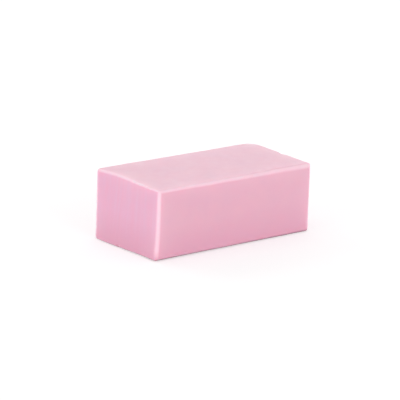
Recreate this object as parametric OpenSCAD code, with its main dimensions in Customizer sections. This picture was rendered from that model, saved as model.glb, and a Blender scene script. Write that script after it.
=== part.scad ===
// A bar of soap cut from a long moulded stick: one solid block, softened along
// every edge. X runs along the bar, Y across it and Z up from the face it lies on.
// The origin is at the middle of that face. All sizes are in millimetres.

/* [Bar] */
// Length, from one cut end to the other
bar_length = 82; // [40:1:160]
// Width, across the top face
bar_width = 40; // [25:1:90]
// Height, from the base face to the top face
bar_height = 29; // [16:1:60]

/* [Edges] */
// Rounding along the two long top edges, left by the mould
top_edge_r = 1.6; // [0.4:0.1:6]
// Rounding along the two long base edges
base_edge_r = 1.6; // [0.4:0.1:6]
// Rounding of the four upright edges
upright_edge_r = 1.2; // [0.4:0.1:6]
// Softening of the short edges, which the cutting wire leaves nearly sharp
cut_edge_r = 0.6; // [0.2:0.1:6]

/* [Hidden] */
// How far each profile is extruded past the bar, so that only its outline trims
overrun = 2;
// Above 12, so that every arc is a true one
$fn = 64;

// A w by h rectangle, centred in X and standing on Y = 0, with one radius for
// its two upper corners and one for its two lower corners.
module soft_rectangle(w, h, r_upper, r_lower) {
    difference() {
        translate([-w / 2, 0]) square([w, h]);
        for (side = [-1, 1]) {
            corner_waste(side * w / 2, h, r_upper, -side, -1);
            corner_waste(side * w / 2, 0, r_lower, -side, 1);
        }
    }
}

// What rounding takes off the corner at (x, y). The rectangle lies on the side
// of the corner that in_x and in_y, each 1 or -1, point to.
module corner_waste(x, y, r, in_x, in_y) {
    translate([x, y]) difference() {
        square(2 * r, center = true);
        translate([in_x * r, in_y * r]) circle(r);
    }
}

// The stick's cross-section, run along X: the long faces, the top and the base
module stick() {
    rotate([90, 0, 90])
        translate([0, 0, -bar_length / 2 - overrun])
        linear_extrude(bar_length + 2 * overrun)
        soft_rectangle(bar_width, bar_height, top_edge_r, base_edge_r);
}

// The outline seen from above, run along Z: it rounds the upright edges
module plan() {
    translate([0, -bar_width / 2, -overrun])
        linear_extrude(bar_height + 2 * overrun)
        soft_rectangle(bar_length, bar_width, upright_edge_r, upright_edge_r);
}

// The outline seen from the long side, run along Y: it softens the cut ends
module side() {
    rotate([90, 0, 0])
        translate([0, 0, -bar_width / 2 - overrun])
        linear_extrude(bar_width + 2 * overrun)
        soft_rectangle(bar_length, bar_height, cut_edge_r, cut_edge_r);
}

module soap_bar() {
    color([0.93, 0.70, 0.78]) intersection() {
        stick();
        plan();
        side();
    }
}

soap_bar();
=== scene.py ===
"""Looks of a hand-cut bar of pink soap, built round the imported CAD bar.

The bar is one block. Its four long faces were left by a mould; its two ends were cut by a wire, which
dragged fine upright lines down them, left a lumpy burr along the top of the end that the camera sees, and
shed crumbs. Lengths are in metres and angles in degrees. In the bar's own shares, u runs from its left end
to its right, v from front to back and w from base to top, each from 0 to 1.
"""

import math

import bmesh
import bpy
import numpy as np
from mathutils import Matrix, Vector

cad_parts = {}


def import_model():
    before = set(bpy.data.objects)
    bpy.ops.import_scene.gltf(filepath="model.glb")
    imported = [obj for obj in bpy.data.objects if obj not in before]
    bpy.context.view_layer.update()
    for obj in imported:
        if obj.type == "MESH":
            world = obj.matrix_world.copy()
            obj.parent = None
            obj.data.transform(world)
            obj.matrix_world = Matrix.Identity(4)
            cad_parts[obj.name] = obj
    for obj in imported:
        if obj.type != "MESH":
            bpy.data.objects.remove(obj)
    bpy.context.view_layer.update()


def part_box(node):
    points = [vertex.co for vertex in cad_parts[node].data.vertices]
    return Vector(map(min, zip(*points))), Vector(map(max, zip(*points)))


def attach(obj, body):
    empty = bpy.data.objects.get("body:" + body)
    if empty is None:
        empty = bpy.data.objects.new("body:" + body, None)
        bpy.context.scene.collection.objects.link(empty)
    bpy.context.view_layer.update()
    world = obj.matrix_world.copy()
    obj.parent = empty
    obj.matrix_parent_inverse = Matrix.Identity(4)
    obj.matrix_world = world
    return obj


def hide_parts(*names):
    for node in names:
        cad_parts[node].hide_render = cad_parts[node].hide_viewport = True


MM = 0.001
SEED = 7

# Spacing of the mesh lines along X, Y and Z in the middle of a face, and within FINE_REACH of an edge.
COARSE_STEPS = (0.7 * MM, 0.38 * MM, 0.5 * MM)
FINE_STEP = 0.13 * MM
FINE_REACH = 1.5 * MM
# How deep inside the block the lines start that carry its skin onto the soap's surface.
CORE_DEPTH = 6 * MM
# How long those lines are, as a share of the way from the core to the block's skin.
CORE_OVERREACH = 1.2
# How many times a line is halved to find where it meets the surface.
BISECTIONS = 22
# Keeps a share of two lengths defined where both are 0.
TINY = 1e-9

# Radii of the soap's edges, each as (at the low end, at the high end) of the axis that the edge runs along.
# An edge's key is the two sides it is on, -1 for low and 1 for high: along X and Y for the upright edges, Y
# and Z for the long ones, and X and Z for those of the cut ends.
UPRIGHT_RADII = {(-1, -1): (1.75 * MM, 1.3 * MM), (-1, 1): (3.0 * MM, 1.7 * MM),
                 (1, -1): (1.8 * MM, 1.2 * MM), (1, 1): (4.0 * MM, 6.0 * MM)}
LONG_RADII = {(-1, 1): (1.1 * MM, 2.0 * MM), (1, 1): (1.2 * MM, 1.6 * MM),
              (-1, -1): (2.8 * MM, 0.9 * MM), (1, -1): (1.6 * MM, 1.6 * MM)}
CUT_RADII = {(-1, 1): (0.7 * MM, 1.3 * MM), (1, 1): (0.9 * MM, 1.1 * MM),
             (-1, -1): (2.0 * MM, 0.6 * MM), (1, -1): (1.4 * MM, 1.4 * MM)}

# How far each cut end stops short of the block at its near top corner, and how much less it does so by its
# back and by its base, by its side along X. The wire bowed through the left end, which is hollow along its
# top and full along its base, most of all towards the back, and dragged its near bottom corner out into a
# heel.
END_SHORT = {-1: 1.4 * MM, 1: 1.6 * MM}
END_FLARE_BACK = {-1: 1.32 * MM, 1: 0.64 * MM}
END_FLARE_BASE = {-1: 0.21 * MM, 1: 0.67 * MM}
LEFT_BOW_TOP = 1.6 * MM
LEFT_BOW_BASE = -0.5 * MM
LEFT_BOW_SKEW = 2
HEEL = 0.6 * MM
HEEL_HEIGHT = 7 * MM
HEEL_DEPTH = 6 * MM
# How far the long faces and the top stop short of the block, and how much more the back does by the right
# end and the front by the top.
SIDE_SHORT = 0.12 * MM
FRONT_LEAN = 0.15 * MM
BACK_TAPER = 0.86 * MM
TOP_SHORT = 0.1 * MM

# Heights and wavelengths of the relief on the faces: hollows everywhere, and drag lines on the cut ends. How
# fast those lines change along X, Y and Z is what makes them run upright.
HOLLOW = 0.03 * MM
HOLLOW_WAVE = 20 * MM
DRAG_LINE = 0.015 * MM
DRAG_WAVE = 2.2 * MM
DRAG_CHANGE = (0, 1, 0.04)

# Places on the block's edges, each as its shares of the block, its reach, and how far it stands out or goes
# in. The lumps are the burr along the top of the left end. They rise by LUMP_RISE of how far they stand out.
LUMPS = (((0.0, 0.43, 1.0), 0.8 * MM, 0.65 * MM),
         ((0.0, 0.30, 1.0), 1.0 * MM, 0.5 * MM),
         ((0.0, 0.21, 1.0), 0.7 * MM, 0.2 * MM),
         ((0.0, 0.52, 1.0), 0.8 * MM, 0.15 * MM))
LUMP_RISE = 0.25
DENTS = (((0.0, 1.0, 0.44), 1.2 * MM, 0.08 * MM),
         ((0.0, 0.57, 0.0), 1.2 * MM, 0.35 * MM),
         ((0.0, 0.16, 1.0), 0.9 * MM, 0.12 * MM),
         ((0.62, 0.0, 1.0), 1.2 * MM, 0.15 * MM),
         ((1.0, 0.45, 1.0), 1.5 * MM, 0.3 * MM),
         ((1.0, 1.0, 0.3), 1.8 * MM, 0.3 * MM))

# Crumbs clinging to the left end, each as its shares of the block's depth and height. A crumb is a ball with
# a radius in this range, stretched along each axis and made lumpy. Its lumps' height and spacing are in
# radii.
CRUMBS = ((0.26, 0.985), (0.31, 0.98), (0.41, 0.985), (0.45, 0.99), (0.57, 0.02))
CRUMB_RADII = (0.2 * MM, 0.34 * MM)
CRUMB_STRETCH = (0.7, 1.3)
CRUMB_LUMPS = 0.25
CRUMB_LUMP_WAVE = 1.5
# The crumbs are pale partly in their own colour and partly as painted light, lifting them out of their shade.
CRUMB_PALENESS = 0.5

# Painted highlights at the edges, partly pale dried soap: how strong the bright line is along the upright
# edges and along the top, how strong its faint halo is and how far that reaches, and the height by which all
# of it has faded in above the base.
UPRIGHT_HIGHLIGHT = 0.58
RIM_HIGHLIGHT = 0.5
HALO = 0.12
HALO_REACH = 5 * MM
BASE_DAMP = 4.5 * MM
# How much paler, as painted highlight, the lumps are where they stand out by as much as LUMP_FULL.
LUMP_HIGHLIGHT = 0.12
LUMP_FULL = 0.4 * MM
# The paler band round the top beside its edges, a painted highlight, and the richer pink just inside all
# edges, a painted glow of light through the soap.
TOP_HIGHLIGHT_BAND = 0.27
TOP_HIGHLIGHT_BAND_REACH = 0.9 * MM
RICH_GLOW = 0.32
RICH_GLOW_REACH = 1.6 * MM
# How far round an edge the cooler colour of the cut ends, painted cool light, gives way to the other faces'
# colour.
CUT_BLEND = 0.6 * MM


def grid_lines(low, high, step):
    """Places from low to high, close together near both ends and wider apart between them."""
    fine = np.linspace(0, FINE_REACH, round(FINE_REACH / FINE_STEP) + 1)[:-1]
    span = high - low - 2 * FINE_REACH
    middle = np.linspace(low + FINE_REACH, high - FINE_REACH, round(span / step) + 1)
    return np.concatenate([low + fine, middle, (high - fine)[::-1]])


def block_skin(low, high):
    """The points and outward quads of a block's skin, as one closed grid."""
    lines = [grid_lines(*ends) for ends in zip(low, high, COARSE_STEPS)]
    counts = [len(v) for v in lines]
    skin = np.zeros(counts, bool)
    for axis in range(3):
        np.moveaxis(skin, axis, 0)[[0, -1]] = True
    numbers = np.full(counts, -1)
    numbers[skin] = np.arange(skin.sum())
    places = np.argwhere(skin)
    points = np.stack([lines[axis][places[:, axis]] for axis in range(3)], 1)
    ends = [numbers[0].T, numbers[-1]]
    sides = [numbers[:, 0], numbers[:, -1].T]
    caps = [numbers[:, :, 0].T, numbers[:, :, -1]]
    sheets = ends + sides + caps
    quads = [np.stack([s[:-1, :-1], s[1:, :-1], s[1:, 1:], s[:-1, 1:]], -1).reshape(-1, 4) for s in sheets]
    return points, np.concatenate(quads)


def ripples(points, wavelength, rng, waves=24):
    """Smooth random heights of about unit spread, with bumps about a wavelength apart."""
    directions = rng.normal(size=(waves, 3))
    directions /= np.linalg.norm(directions, axis=1)[:, None]
    numbers = directions * rng.uniform(0.6, 1.5, (waves, 1)) * 2 * math.pi / wavelength
    phases = rng.uniform(0, 2 * math.pi, waves)
    return np.sin(points @ numbers.T + phases).sum(1) * math.sqrt(2 / waves)


class Soap:
    """The soap's shape: worked faces joined by softened edges. They lie inside the CAD bar's box, but for a
    quarter of a millimetre at the base of the left end.
    """

    def __init__(self, low, high):
        self.low = low
        self.high = high

    def shares(self, points):
        """Each point's place as shares of the block, along u, v and w."""
        return ((points - self.low) / (self.high - self.low)).T

    def end_short(self, side, v, w):
        """How far the cut end on that side would stop short of the block had the wire run straight."""
        return END_SHORT[side] - END_FLARE_BACK[side] * v - END_FLARE_BASE[side] * (1 - w)

    def left_bow(self, v, w):
        """How much further in the bowed wire cut the left end."""
        depth = LEFT_BOW_BASE + (LEFT_BOW_TOP - LEFT_BOW_BASE) * w
        return np.sin(np.pi * np.clip(v, 0, 1) ** LEFT_BOW_SKEW) * depth

    def heel(self, points):
        """How far the left end's near bottom corner is dragged outward."""
        across = (points[:, 1] - self.low[1]) / HEEL_DEPTH
        up = (points[:, 2] - self.low[2]) / HEEL_HEIGHT
        return HEEL * np.exp(-across ** 2 - up ** 2)

    def fitted(self, skin):
        """The block's skin with its ends drawn in to the soap's own, so its edges run along the soap's."""
        u, v, w = self.shares(skin)
        left = self.end_short(-1, v, w) + self.left_bow(v, w)
        right = self.end_short(1, v, w)
        return skin + np.outer(left * (1 - u) - right * u, (1, 0, 0))

    def gaps(self, points, relief):
        """How far the points stand outside the ends, long sides, top and base, each less than 0 inside."""
        u, v, w = self.shares(points)
        x, y, z = points.T
        left = self.low[0] + self.end_short(-1, v, w) + self.left_bow(v, w) - self.heel(points) - x
        right = x - self.high[0] + self.end_short(1, v, w)
        front = self.low[1] + SIDE_SHORT + FRONT_LEAN * w - y
        back = y - self.high[1] + SIDE_SHORT + BACK_TAPER * u
        top = z - self.high[2] + TOP_SHORT
        base = self.low[2] - z
        return (np.maximum(left, right) - relief["end"], np.maximum(front, back) - relief["side"],
                top - relief["top"], base)

    def shape(self, points, relief):
        """A distance that is 0 on the soap's surface and less inside it, and how far round its upright edges
        and its top edges each point is.
        """
        u, v, w = self.shares(points)
        end, side, top, base = self.gaps(points, relief)
        upright = pick_radius(UPRIGHT_RADII, u, v, w)
        plan = rounded(end, side, upright)
        towards_end = np.maximum(end + upright, TINY) ** 2
        towards_side = np.maximum(side + upright, TINY) ** 2
        end_part = towards_end / (towards_end + towards_side)
        top_radius, base_radius = (
            end_part * pick_radius(CUT_RADII, u, level, v)
            + (1 - end_part) * pick_radius(LONG_RADII, v, level, u)
            for level in (1, 0))
        whole = rounded(rounded(plan, top, top_radius), base, base_radius)
        return whole, turned(end, side, upright), turned(plan, top, top_radius)

    def surface(self, skin, relief):
        """The block's skin points, each drawn along a line from the core to the soap's surface."""
        fitted = self.fitted(skin)
        core = np.clip(fitted, self.low + CORE_DEPTH, self.high - CORE_DEPTH)
        reach = (fitted - core) * CORE_OVERREACH
        inner, outer = np.zeros(len(skin)), np.ones(len(skin))
        for _ in range(BISECTIONS):
            middle = (inner + outer) / 2
            inside = self.shape(core + reach * middle[:, None], relief)[0] < 0
            inner = np.where(inside, middle, inner)
            outer = np.where(inside, outer, middle)
        return core + reach * inner[:, None]


def pick_radius(table, first, second, along):
    """Each point's radius, from the table's row for the sides it is on and its place along that edge."""
    radius = 0
    for (a, b), (start, stop) in table.items():
        on_sides = ((first > 0.5) == (a > 0)) & ((second > 0.5) == (b > 0))
        radius = radius + on_sides * (start + (stop - start) * along)
    return radius


def rounded(a, b, radius):
    """Two gaps joined into one, so that the edge where both are 0 is softened to the radius."""
    arc = np.hypot(np.maximum(a + radius, 0), np.maximum(b + radius, 0))
    return np.minimum(np.maximum(a, b), -radius) + arc


def turned(a, b, radius):
    """How far round the edge between two gaps the points are: 1 halfway round, 0 where a face goes flat."""
    return np.clip(2 * np.maximum(a + radius, 0) * np.maximum(b + radius, 0) / radius ** 2, 0, 1)


def mesh_piece(name, points, quads, material):
    """A smooth-shaded mesh object that rides on the bar's one body."""
    mesh = bpy.data.meshes.new(name)
    mesh.from_pydata(points.tolist(), [], quads.tolist())
    mesh.polygons.foreach_set("use_smooth", np.ones(len(quads), bool))
    mesh.materials.append(material)
    piece = bpy.data.objects.new(name, mesh)
    bpy.context.scene.collection.objects.link(piece)
    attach(piece, "root")
    return piece


def store_share(piece, name, values):
    """Keeps one number from 0 to 1 at each of the piece's points, for its material to read."""
    attribute = piece.data.attributes.new(name, "FLOAT", "POINT")
    attribute.data.foreach_set("value", np.clip(values, 0, 1).astype(np.float32))


def ramp(values, start, stop):
    """0 up to start and 1 from stop on, even between them."""
    return np.clip((values - start) / (stop - start), 0, 1)


def bumps(skin, low, high, table):
    """How far the table's smooth round bumps stand up, all together, at each skin point."""
    height = np.zeros(len(skin))
    for place, reach, most in table:
        centre = low + (high - low) * place
        height += most * np.exp(-(np.linalg.norm(skin - centre, axis=1) / reach) ** 2)
    return height


def face_relief(skin, low, high, rng):
    """How far the soap stands proud of its plain faces at each skin point, by kind of face, and its lumps."""
    hollows = {kind: HOLLOW * ripples(skin, HOLLOW_WAVE, rng) for kind in ("end", "side", "top")}
    drag_lines = DRAG_LINE * ripples(skin * DRAG_CHANGE, DRAG_WAVE, rng)
    lump = bumps(skin, low, high, LUMPS)
    dent = bumps(skin, low, high, DENTS)
    return {"end": hollows["end"] + drag_lines + lump - dent,
            "side": hollows["side"] - dent,
            "top": hollows["top"] + LUMP_RISE * lump - dent,
            "lump": lump}


def highlight_paleness(soap, surface, relief):
    """How pale the edges are, from 0 to 1: painted highlights, partly dried soap, as a bright line and a
    faint halo along edges off the floor.
    """
    end, side, top, base = soap.gaps(surface, relief)
    _, upright, rim = soap.shape(surface, relief)
    line = np.maximum(UPRIGHT_HIGHLIGHT * upright, RIM_HIGHLIGHT * rim)
    line = np.clip(line + LUMP_HIGHLIGHT * relief["lump"] / LUMP_FULL, 0, 1)
    halo = HALO * np.exp(nearest_edge(end, side, top) / HALO_REACH)
    outer = np.maximum(end, side)
    band = TOP_HIGHLIGHT_BAND * np.exp(outer / TOP_HIGHLIGHT_BAND_REACH) * (top > outer)
    return (1 - (1 - line) * (1 - halo) * (1 - band)) * ramp(-base, 0, BASE_DAMP)


def nearest_edge(end, side, top):
    """How far inside the nearest edge each point of the surface is, as a number of 0 or less."""
    return np.sort([end, side, top], axis=0)[1]


def painted_glow(soap, surface, relief):
    """How much richer the pink is, from 0 to 1, as a painted glow of light through the soap: most at the
    edges, and less and less inside them.
    """
    end, side, top, _ = soap.gaps(surface, relief)
    return RICH_GLOW * np.exp(nearest_edge(end, side, top) / RICH_GLOW_REACH)


def soap_block(soap, surface, quads, relief, material):
    """The bar itself, shown instead of its plain CAD node."""
    piece = mesh_piece("soap_block", surface, quads, material)
    end, side, top, base = soap.gaps(surface, relief)
    store_share(piece, "edge", highlight_paleness(soap, surface, relief))
    store_share(piece, "rich_glow", painted_glow(soap, surface, relief))
    store_share(piece, "cut_face", 0.5 + (end - np.max([side, top, base], axis=0)) / CUT_BLEND)
    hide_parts("soap_bar")


def crumb(centre, rng):
    """The points and triangles of one irregular crumb, half sunk in the soap."""
    ball = bmesh.new()
    bmesh.ops.create_icosphere(ball, subdivisions=2, radius=1)
    points = np.array([v.co for v in ball.verts])
    triangles = np.array([[v.index for v in f.verts] for f in ball.faces])
    ball.free()
    lumps = 1 + CRUMB_LUMPS * ripples(points, CRUMB_LUMP_WAVE, rng, waves=8)
    stretch = rng.uniform(*CRUMB_RADII) * rng.uniform(*CRUMB_STRETCH, 3)
    return centre + points * lumps[:, None] * stretch, triangles


def soap_crumbs(soap, skin, surface, material, rng):
    """Crumbs left by the wire, each sunk in the soap where its place on the block's skin ended up."""
    points, triangles = [], []
    count = 0
    for v, w in CRUMBS:
        place = soap.low + (soap.high - soap.low) * (0, v, w)
        nearest = np.argmin(np.linalg.norm(skin - place, axis=1))
        some_points, some_triangles = crumb(surface[nearest], rng)
        points.append(some_points)
        triangles.append(some_triangles + count)
        count += len(some_points)
    points = np.concatenate(points)
    piece = mesh_piece("soap_crumbs", points, np.concatenate(triangles), material)
    store_share(piece, "edge", np.full(len(points), CRUMB_PALENESS))
    store_share(piece, "cut_face", np.ones(len(points)))


def soap_bar(low, high, material):
    """The bar and its crumbs, within the box from low to high."""
    rng = np.random.default_rng(SEED)
    soap = Soap(low, high)
    skin, quads = block_skin(low, high)
    relief = face_relief(skin, low, high, rng)
    surface = soap.surface(skin, relief)
    soap_block(soap, surface, quads, relief, material)
    soap_crumbs(soap, skin, surface, material, rng)


NOISE_DETAIL = 3.0


def noise(tree, vector, spacing):
    """A cloudy pattern from 0 to 1, its blobs about spacing apart."""
    node = tree.nodes.new("ShaderNodeTexNoise")
    node.inputs["Scale"].default_value = 1 / spacing
    node.inputs["Detail"].default_value = NOISE_DETAIL
    tree.links.new(vector, node.inputs["Vector"])
    return node.outputs["Fac"]


def remap(tree, value, source, target):
    """The value carried, evenly and clamped, from the source range to the target range."""
    node = tree.nodes.new("ShaderNodeMapRange")
    tree.links.new(value, node.inputs["Value"])
    for socket, number in zip(("From Min", "From Max", "To Min", "To Max"), (*source, *target)):
        node.inputs[socket].default_value = number
    return node.outputs["Result"]


def multiply(tree, a, b):
    """The product of two values."""
    node = tree.nodes.new("ShaderNodeMath")
    node.operation = "MULTIPLY"
    tree.links.new(a, node.inputs[0])
    tree.links.new(b, node.inputs[1])
    return node.outputs["Value"]


def blend_colours(tree, share, a, b):
    """Colour a where share is 0 and b where it is 1, each a socket or a colour."""
    node = tree.nodes.new("ShaderNodeMix")
    node.data_type = "RGBA"
    tree.links.new(share, node.inputs["Factor"])
    for name, value in (("A", a), ("B", b)):
        socket = next(s for s in node.inputs if s.name == name and s.type == "RGBA")
        if isinstance(value, bpy.types.NodeSocket):
            tree.links.new(value, socket)
        else:
            socket.default_value = (*value, 1)
    return next(s for s in node.outputs if s.type == "RGBA")


def attribute(tree, name):
    """The number of that name that the mesh keeps at its points."""
    node = tree.nodes.new("ShaderNodeAttribute")
    node.attribute_name = name
    return node.outputs["Fac"]


# The soap's colours: two that cloud into each other, the two that streak the cut ends, made cooler as painted
# cool light, the one low down that is painted shade, the painted contact shadow along the base of the moulded
# sides, the one just inside the edges that is a painted glow, and the pale one that is painted highlight and
# dried edges.
PINK = (0.73, 0.405, 0.515)
PINK_WARM = (0.75, 0.415, 0.515)
# The cut ends' two pinks are cooler than the rest as painted cool light falling on them.
PINK_COOL_LIT = (0.76, 0.43, 0.58)
PINK_STREAK_COOL_LIT = (0.78, 0.408, 0.555)
# Painted shade: darker towards the base, where less light bounces up from the floor.
PINK_SHADED_LOW = (0.71, 0.355, 0.475)
# Painted contact shadow: near-black along the base of the moulded sides, where the bar meets the floor.
PINK_CONTACT_SHADOW = (0.1, 0.03, 0.045)
# Painted glow: the richer pink by the edges stands in for light shining through the soap there.
PINK_RICH_GLOW = (1.0, 0.42, 0.56)
# Painted highlight along the edges, partly pale dried soap.
PINK_PALE_HIGHLIGHT = (1.0, 0.82, 0.89)
LOW_SHADE_HEIGHT = 14 * MM
CONTACT_SHADOW_HEIGHT = 1.1 * MM
# The spacing of the clouds and of the streaks, and the noise values between which both fade in.
CLOUD_SPACING = 9 * MM
STREAK_SPACING = 1.6 * MM
FADE = (0.35, 0.65)
# How fast the streaks change along X, Y and Z, which makes them run up the cut ends.
STREAK_CHANGE = (1, 1, 0.04)
# The surface: how rough it is in its glossy and its dull patches, and how high its fine grain is.
ROUGHNESS = (0.36, 0.46)
ROUGHNESS_SPACING = 3 * MM
ROUGHNESS_FADE = (0.3, 0.7)
GRAIN_HEIGHT = 0.02 * MM
GRAIN_SPACING = 0.8 * MM
# How light passes through the soap, and how far red, green and blue light spread in it.
SOAP_IOR = 1.5
SPREAD = 0.5 * MM
SPREAD_BY_COLOUR = (1.0, 0.55, 0.65)


def streaked(tree, place):
    """The cut ends' colour at a place: two pinks in upright streaks, made cooler as painted cool light."""
    stretched = tree.nodes.new("ShaderNodeVectorMath")
    stretched.operation = "MULTIPLY"
    tree.links.new(place, stretched.inputs[0])
    stretched.inputs[1].default_value = STREAK_CHANGE
    streaks = remap(tree, noise(tree, stretched.outputs["Vector"], STREAK_SPACING), FADE, (0, 1))
    return blend_colours(tree, streaks, PINK_COOL_LIT, PINK_STREAK_COOL_LIT)


def soap_colour(tree, place):
    """The soap's colour: clouded or streaked, with painted shade low down and a painted contact shadow along
    its base, and a painted glow and painted highlights, partly dried soap, by its edges.
    """
    clouds = remap(tree, noise(tree, place, CLOUD_SPACING), FADE, (0, 1))
    colour = blend_colours(tree, clouds, PINK, PINK_WARM)
    cut = attribute(tree, "cut_face")
    colour = blend_colours(tree, cut, colour, streaked(tree, place))
    parts = tree.nodes.new("ShaderNodeSeparateXYZ")
    tree.links.new(place, parts.inputs["Vector"])
    height = parts.outputs["Z"]
    # Painted shade, darker towards the base.
    low_shade = remap(tree, height, (0, LOW_SHADE_HEIGHT), (1, 0))
    colour = blend_colours(tree, low_shade, colour, PINK_SHADED_LOW)
    # Painted contact shadow along the base of the moulded sides.
    contact_shadow = multiply(tree, remap(tree, height, (0, CONTACT_SHADOW_HEIGHT), (1, 0)), remap(tree, cut, (0, 1), (1, 0)))
    colour = blend_colours(tree, contact_shadow, colour, PINK_CONTACT_SHADOW)
    # Painted glow of light through the soap, just inside the edges.
    colour = blend_colours(tree, attribute(tree, "rich_glow"), colour, PINK_RICH_GLOW)
    # Painted highlights along the edges, partly pale dried soap.
    return blend_colours(tree, attribute(tree, "edge"), colour, PINK_PALE_HIGHLIGHT)


def soap_material():
    """Opaque, waxy soap: softly clouded and streaked where the wire cut it, with painted light: cooler on the
    cut ends, shade low down and along its base, and a glow and highlights, partly dried soap, by its edges.
    """
    material = bpy.data.materials.new("soap")
    material.use_nodes = True
    tree = material.node_tree
    shader = tree.nodes["Principled BSDF"]
    place = tree.nodes.new("ShaderNodeTexCoord").outputs["Object"]
    tree.links.new(soap_colour(tree, place), shader.inputs["Base Color"])
    roughness = remap(tree, noise(tree, place, ROUGHNESS_SPACING), ROUGHNESS_FADE, ROUGHNESS)
    tree.links.new(roughness, shader.inputs["Roughness"])
    bump = tree.nodes.new("ShaderNodeBump")
    bump.inputs["Strength"].default_value = 1.0
    bump.inputs["Distance"].default_value = GRAIN_HEIGHT
    tree.links.new(noise(tree, place, GRAIN_SPACING), bump.inputs["Height"])
    tree.links.new(bump.outputs["Normal"], shader.inputs["Normal"])
    shader.inputs["IOR"].default_value = SOAP_IOR
    shader.inputs["Subsurface Weight"].default_value = 1.0
    shader.inputs["Subsurface Radius"].default_value = SPREAD_BY_COLOUR
    shader.inputs["Subsurface Scale"].default_value = SPREAD
    return material


FLOOR_HALF = 8.0
FLOOR_GREY = 0.65
# The floor's own glow by the bar and far off, where the softboxes don't light it, and the distances that the
# glow rises between.
FLOOR_GLOWS = (0.42, 0.58)
FLOOR_GLOW_REACH = (0.5, 1.5)


def floor_material():
    """Plain matt white that glows a little, as a light table does, and blends into the white far off."""
    material = bpy.data.materials.new("floor")
    material.use_nodes = True
    tree = material.node_tree
    shader = tree.nodes["Principled BSDF"]
    shader.inputs["Base Color"].default_value = (FLOOR_GREY, FLOOR_GREY, FLOOR_GREY, 1)
    shader.inputs["Roughness"].default_value = 1.0
    shader.inputs["Specular IOR Level"].default_value = 0.0
    shader.inputs["Emission Color"].default_value = (1, 1, 1, 1)
    length = tree.nodes.new("ShaderNodeVectorMath")
    length.operation = "LENGTH"
    tree.links.new(tree.nodes.new("ShaderNodeTexCoord").outputs["Object"], length.inputs[0])
    glow = remap(tree, length.outputs["Value"], FLOOR_GLOW_REACH, FLOOR_GLOWS)
    tree.links.new(glow, shader.inputs["Emission Strength"])
    return material


def floor():
    """A plain white table top, larger than any view of the bar."""
    mesh = bpy.data.meshes.new("floor")
    corners = [(x, y, 0) for x, y in ((-1, -1), (1, -1), (1, 1), (-1, 1))]
    mesh.from_pydata([tuple(FLOOR_HALF * c for c in corner) for corner in corners], [], [(0, 1, 2, 3)])
    mesh.materials.append(floor_material())
    plane = bpy.data.objects.new("floor", mesh)
    bpy.context.scene.collection.objects.link(plane)


# The softboxes, each as its name, its azimuth and elevation from the bar, its width and height, and how
# bright its face is.
LAMP_DISTANCE = 1.3
SOFTBOXES = (("front", 0, 25, 0.65, 0.45, 3.2),
             ("left", -90, 25, 0.65, 0.45, 2.2),
             ("right", 55, 30, 0.65, 0.45, 0.6),
             ("rear_left", -160, 35, 0.65, 0.45, 2.0),
             ("backdrop", 140, 14, 1.4, 0.8, 0.95))
# How bright the surroundings are near the horizon and overhead, and the rises that they dim between, each the
# sine of an elevation.
SKY_BRIGHTNESS = (1.0, 0.65)
SKY_RISES = (0.30, 0.60)


def direction(azimuth, elevation):
    """The unit vector from the bar towards a camera or lamp. Azimuth 0 is in front, and 90 to the right."""
    a, e = math.radians(azimuth), math.radians(elevation)
    return Vector((math.sin(a) * math.cos(e), -math.cos(a) * math.cos(e), math.sin(e)))


def softbox(name, target, azimuth, elevation, width, height, brightness):
    """A rectangular white lamp that faces the target. Brightness is how its face looks beside white at 1."""
    data = bpy.data.lights.new(name, "AREA")
    data.shape = "RECTANGLE"
    data.size, data.size_y = width, height
    data.energy = brightness * math.pi * width * height
    lamp = bpy.data.objects.new(name, data)
    bpy.context.scene.collection.objects.link(lamp)
    away = direction(azimuth, elevation)
    lamp.location = target + away * LAMP_DISTANCE
    lamp.rotation_euler = away.to_track_quat("Z", "Y").to_euler()
    lamp.visible_camera = False


def studio(target):
    """Surroundings white to well above the horizon and dimmer overhead, with softboxes round the bar."""
    world = bpy.data.worlds.new("studio")
    bpy.context.scene.world = world
    world.use_nodes = True
    tree = world.node_tree
    way = tree.nodes.new("ShaderNodeTexCoord").outputs["Generated"]
    rise = tree.nodes.new("ShaderNodeSeparateXYZ")
    tree.links.new(way, rise.inputs["Vector"])
    brightness = remap(tree, rise.outputs["Z"], SKY_RISES, SKY_BRIGHTNESS)
    tree.links.new(brightness, tree.nodes["Background"].inputs["Strength"])
    tree.nodes["Background"].inputs["Color"].default_value = (1, 1, 1, 1)
    for name, azimuth, elevation, width, height, face in SOFTBOXES:
        softbox(name, target, azimuth, elevation, width, height, face)


CAMERA_AZIMUTH = -39.91
CAMERA_ELEVATION = 16.45
CAMERA_ROLL = 2.49
CAMERA_DISTANCE = 1.0126
CAMERA_LENS = 225
CAMERA_SENSOR = 36
CAMERA_CLIP = (0.05, 20)
# How far to the left of the bar's middle and below it the camera aims.
AIM_LEFT = 1.85 * MM
AIM_DOWN = 0.14 * MM


def camera(centre):
    """The photograph's view: a long lens, from the left of the front and a little above."""
    back = direction(CAMERA_AZIMUTH, CAMERA_ELEVATION)
    level = Vector((0, 0, 1)).cross(back).normalized()
    roll = Matrix.Rotation(math.radians(CAMERA_ROLL), 3, back)
    right = roll @ level
    up = back.cross(right)
    aim = centre - right * AIM_LEFT - up * AIM_DOWN
    data = bpy.data.cameras.new("camera")
    data.lens = CAMERA_LENS
    data.sensor_width = CAMERA_SENSOR
    data.clip_start, data.clip_end = CAMERA_CLIP
    eye = bpy.data.objects.new("camera", data)
    bpy.context.scene.collection.objects.link(eye)
    turn = Matrix((right, up, back)).transposed().to_4x4()
    eye.matrix_world = Matrix.Translation(aim + back * CAMERA_DISTANCE) @ turn
    bpy.context.scene.camera = eye


def main():
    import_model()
    low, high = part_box("soap_bar")
    centre = (low + high) / 2
    bpy.context.scene.view_settings.view_transform = "Standard"
    soap_bar(np.array(low), np.array(high), soap_material())
    floor()
    studio(centre)
    camera(centre)


main()
